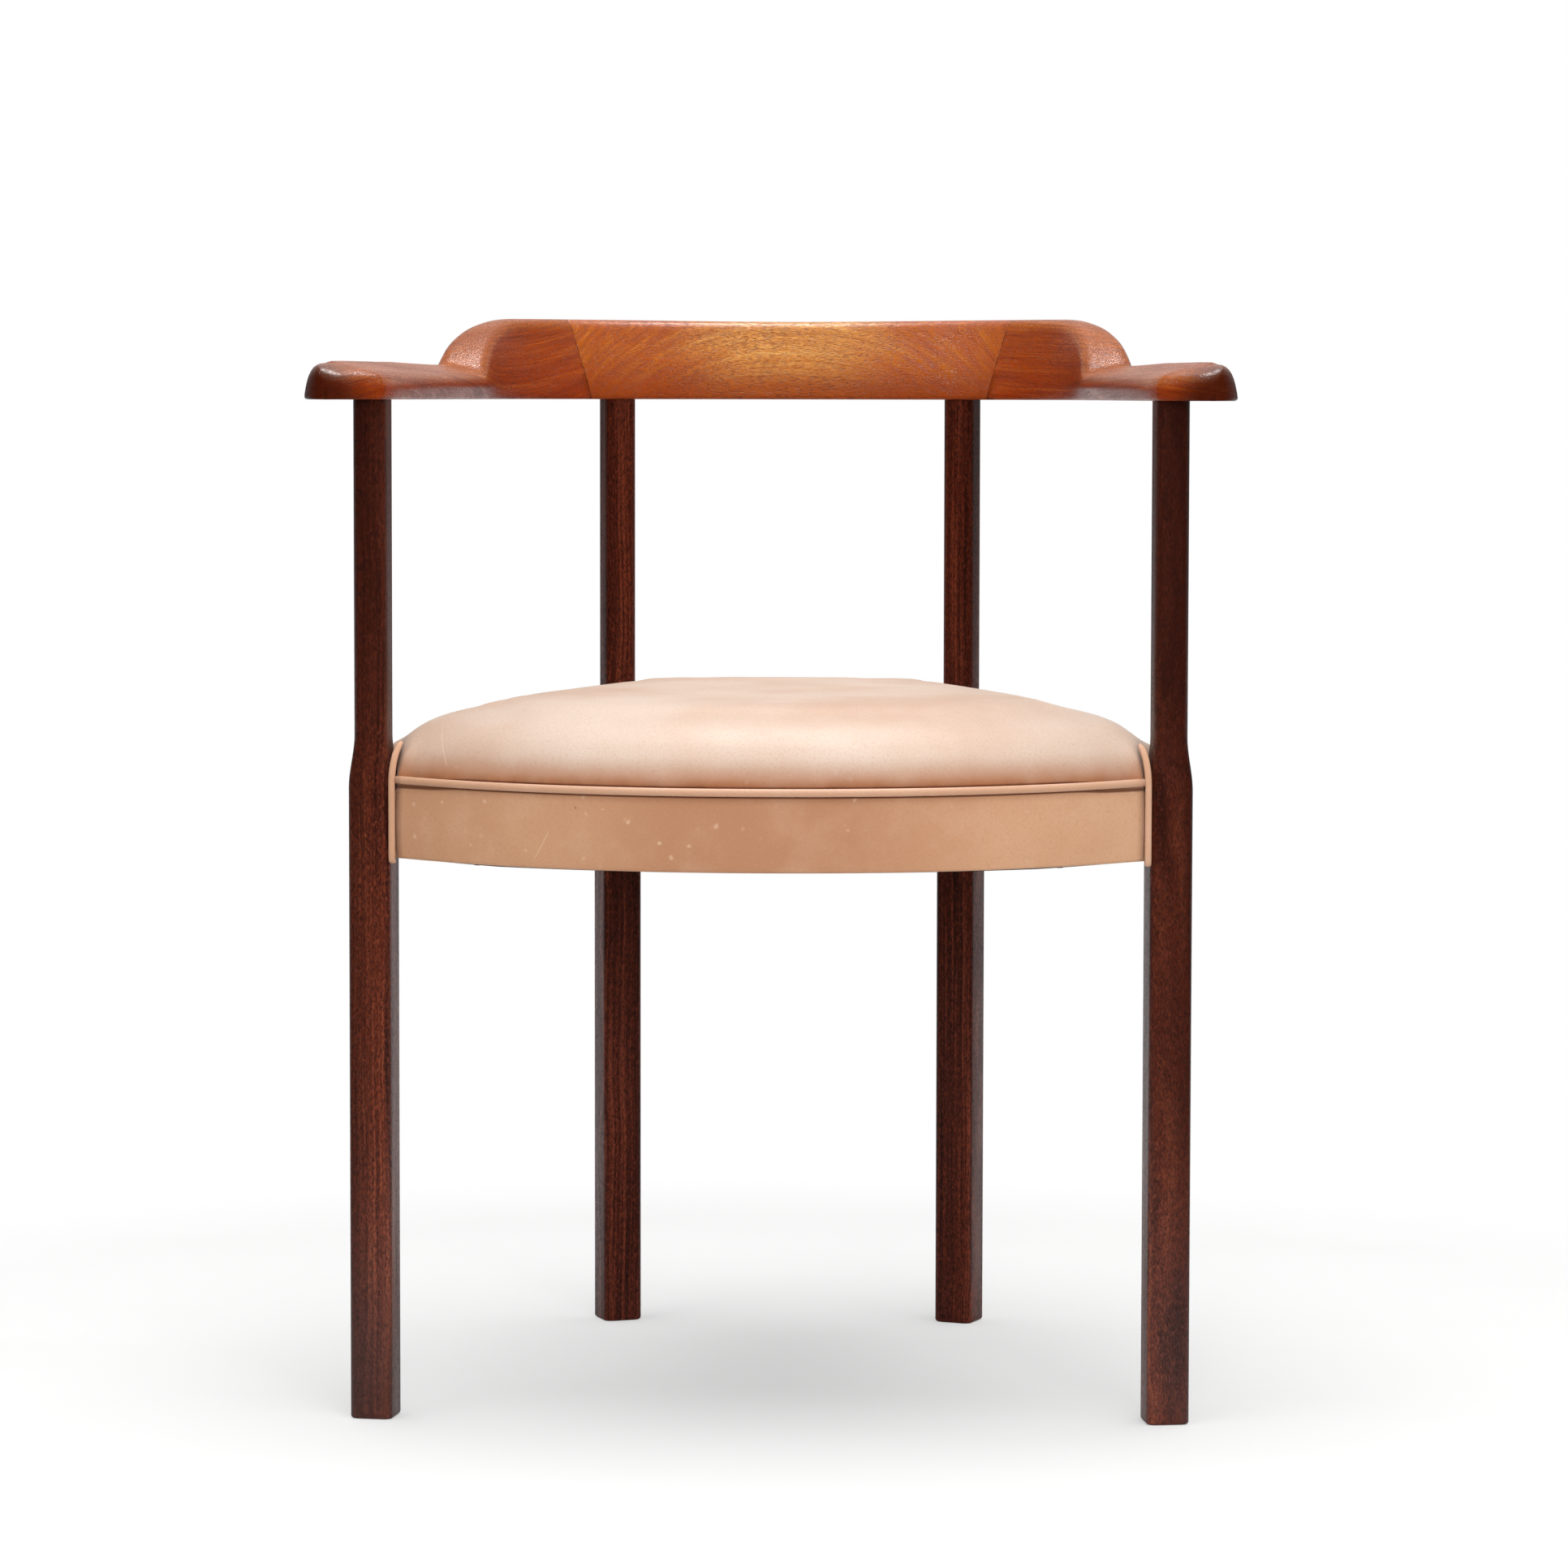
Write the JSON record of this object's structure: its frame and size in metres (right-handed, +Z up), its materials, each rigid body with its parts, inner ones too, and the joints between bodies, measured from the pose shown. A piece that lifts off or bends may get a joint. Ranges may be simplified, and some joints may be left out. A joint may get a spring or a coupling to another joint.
{
  "type": "armchair",
  "caption": "Armchair with a horseshoe arm and back rail, square tapered legs and a bow-fronted drum seat upholstered in leather.",
  "frame": {"origin": "middle of the chair's bounding box at the floor", "axes": "+Z up, the sitter faces -Y, +X towards the chair's right-hand side seen from the front"},
  "size_m": [0.5784, 0.515, 0.6947],
  "materials": {
    "leg_mahogany": "dark red-brown mahogany, satin oil and wax",
    "arm_mahogany": "mid red-brown mahogany, satin oil and wax",
    "crest_mahogany": "golden mahogany, satin oil and wax",
    "hardwood_dowel": "plain beech",
    "frame_hardwood": "sawn beech, unfinished",
    "screw_steel": "plain steel",
    "jute": "woven jute",
    "pad_stuffing": "stuffed pad",
    "leather": "natural vegetable-tanned leather, matt",
    "leather_edge": "natural vegetable-tanned leather, matt",
    "black_cloth": "thin black cloth"
  },
  "bodies": {
    "root": {"front_left_leg": "leg_mahogany", "front_right_leg": "leg_mahogany", "rear_left_leg": "leg_mahogany", "rear_right_leg": "leg_mahogany", "left_arm": "arm_mahogany", "right_arm": "arm_mahogany", "crest_rail": "crest_mahogany", "joint_dowels": "hardwood_dowel", "front_seat_rail": "frame_hardwood", "rear_seat_rail": "frame_hardwood", "left_seat_rail": "frame_hardwood", "right_seat_rail": "frame_hardwood", "front_left_corner_block": "frame_hardwood", "front_right_corner_block": "frame_hardwood", "rear_left_corner_block": "frame_hardwood", "rear_right_corner_block": "frame_hardwood", "corner_block_screws": "screw_steel", "lengthwise_webbing": "jute", "crosswise_webbing": "jute", "hessian": "jute", "seat_pad": "pad_stuffing", "leather_top": "leather", "front_leather_band": "leather", "rear_leather_band": "leather", "left_leather_band": "leather", "right_leather_band": "leather", "front_piping": "leather_edge", "rear_piping": "leather_edge", "left_piping": "leather_edge", "right_piping": "leather_edge", "front_left_leg_welts": "leather_edge", "front_right_leg_welts": "leather_edge", "rear_left_leg_welts": "leather_edge", "rear_right_leg_welts": "leather_edge", "dust_cover": "black_cloth"}
  },
  "joints": []
}
